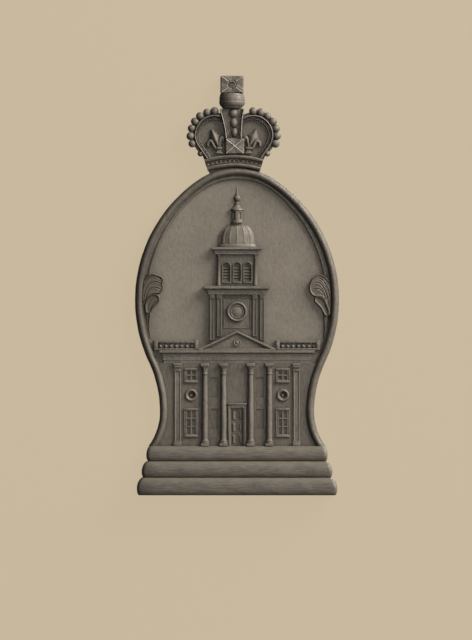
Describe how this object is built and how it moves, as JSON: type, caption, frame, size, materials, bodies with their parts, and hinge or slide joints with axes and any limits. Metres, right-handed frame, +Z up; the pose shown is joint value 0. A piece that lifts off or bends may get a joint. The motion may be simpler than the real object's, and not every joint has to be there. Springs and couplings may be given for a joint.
{
  "type": "fire mark",
  "caption": "Cast wall mark: waisted oval with a rounded rim, a stepped foot, a crown on top and a domed hall in relief.",
  "frame": {"origin": "on the flat back face, on the oval's middle line, level with the oval's widest point", "axes": "+Z up, +X to the viewer's right, +Y into the wall; the mark faces -Y"},
  "size_m": [0.1426, 0.018, 0.2927],
  "materials": {
    "plate_lead": "dull weathered lead, smooth field with fine scratches",
    "rim_lead": "dull weathered lead, rubbed brighter along the rounds",
    "step_lead": "dull weathered lead with long soft scratches",
    "cap_lead": "dull weathered lead, darker in the crown's hollows",
    "crown_lead": "dull weathered lead, edges rubbed pale",
    "hall_wall_lead": "dull weathered lead, darker on the low faces",
    "hall_trim_lead": "dull weathered lead, edges rubbed pale"
  },
  "bodies": {
    "root": {"back_plate": "plate_lead", "arch_moulding": "rim_lead", "left_side_moulding": "rim_lead", "right_side_moulding": "rim_lead", "left_leaf": "rim_lead", "right_leaf": "rim_lead", "lower_step": "step_lead", "middle_step": "step_lead", "upper_step": "step_lead", "crown_cap": "cap_lead", "crown_band": "crown_lead", "crown_left_arch": "crown_lead", "crown_right_arch": "crown_lead", "crown_front_arch": "crown_lead", "crown_front_cross": "crown_lead", "crown_left_fleur": "crown_lead", "crown_right_fleur": "crown_lead", "crown_orb": "crown_lead", "crown_cross": "crown_lead", "hall_wall": "hall_wall_lead", "hall_cornice": "hall_trim_lead", "hall_door": "hall_trim_lead", "column_1": "hall_trim_lead", "column_2": "hall_trim_lead", "column_3": "hall_trim_lead", "column_4": "hall_trim_lead", "left_pilaster": "hall_trim_lead", "right_pilaster": "hall_trim_lead", "left_lower_window": "hall_trim_lead", "right_lower_window": "hall_trim_lead", "left_upper_window": "hall_trim_lead", "right_upper_window": "hall_trim_lead", "left_ring": "hall_trim_lead", "right_ring": "hall_trim_lead", "pediment": "hall_trim_lead", "left_balustrade": "hall_trim_lead", "right_balustrade": "hall_trim_lead", "tower_stage": "hall_wall_lead", "tower_medallion": "hall_trim_lead", "tower_cornice": "hall_trim_lead", "belfry": "hall_wall_lead", "belfry_cornice": "hall_trim_lead", "dome": "hall_trim_lead", "lantern": "hall_trim_lead", "finial": "hall_trim_lead"}
  },
  "joints": []
}
